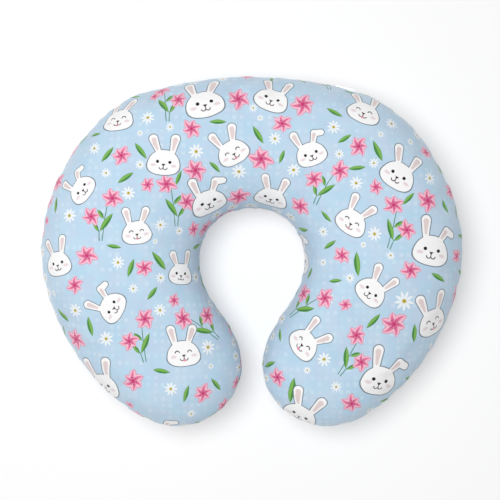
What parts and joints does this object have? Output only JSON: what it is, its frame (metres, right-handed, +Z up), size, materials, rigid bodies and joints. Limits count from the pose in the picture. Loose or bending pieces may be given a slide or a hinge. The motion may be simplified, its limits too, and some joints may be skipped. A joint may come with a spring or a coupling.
{
  "type": "nursing pillow",
  "caption": "C-shaped stuffed nursing pillow in a zip-off printed fabric cover, with a round opening for the waist and a narrow mouth.",
  "frame": {"origin": "on the surface the pillow lies on, at the middle of its plan", "axes": "+Z up, +X across both sides, +Y towards the crown; the mouth opens towards -Y"},
  "size_m": [0.55, 0.4568, 0.15],
  "materials": {
    "cover_print": "matte",
    "casing_cloth": "matte",
    "fibre_fill": "matte",
    "thread": "matte",
    "zip_tape": "matte",
    "label": "matte",
    "zip_nylon": "satin",
    "zip_metal": "satin"
  },
  "bodies": {
    "pillow": {"cover_top_panel": "cover_print", "cover_bottom_panel": "cover_print", "cover_seam_thread": "thread", "zip_tape_upper": "zip_tape", "zip_tape_lower": "zip_tape", "zip_coil_upper": "zip_nylon", "zip_coil_lower": "zip_nylon", "zip_top_stop_upper": "zip_metal", "zip_top_stop_lower": "zip_metal", "zip_bottom_stop": "zip_metal", "zip_topstitch_upper": "thread", "zip_topstitch_lower": "thread", "zip_end_tack_left": "thread", "zip_end_tack_right": "thread", "care_label": "label", "casing_top_panel": "casing_cloth", "casing_bottom_panel": "casing_cloth", "casing_seam_thread": "thread", "casing_closing_stitch": "thread", "fibre_fill": "fibre_fill"},
    "zip_slider": {"zip_slider_body": "zip_metal"},
    "zip_pull": {"zip_pull_tab": "zip_metal"}
  },
  "joints": [
    {"name": "zip_run", "type": "hinge", "parent": "pillow", "child": "zip_slider", "pos_m": [0, -0.252, 0.072], "axis": [0, 0, 1], "range_deg": [0, 31.5], "deforming": ["zip_coil_upper", "zip_coil_lower"]},
    {"name": "pull_swing", "type": "hinge", "parent": "zip_slider", "child": "zip_pull", "pos_m": [0.13079, 0.21157, 0.072], "axis": [0, 0, -1], "range_deg": [0, 170]}
  ]
}
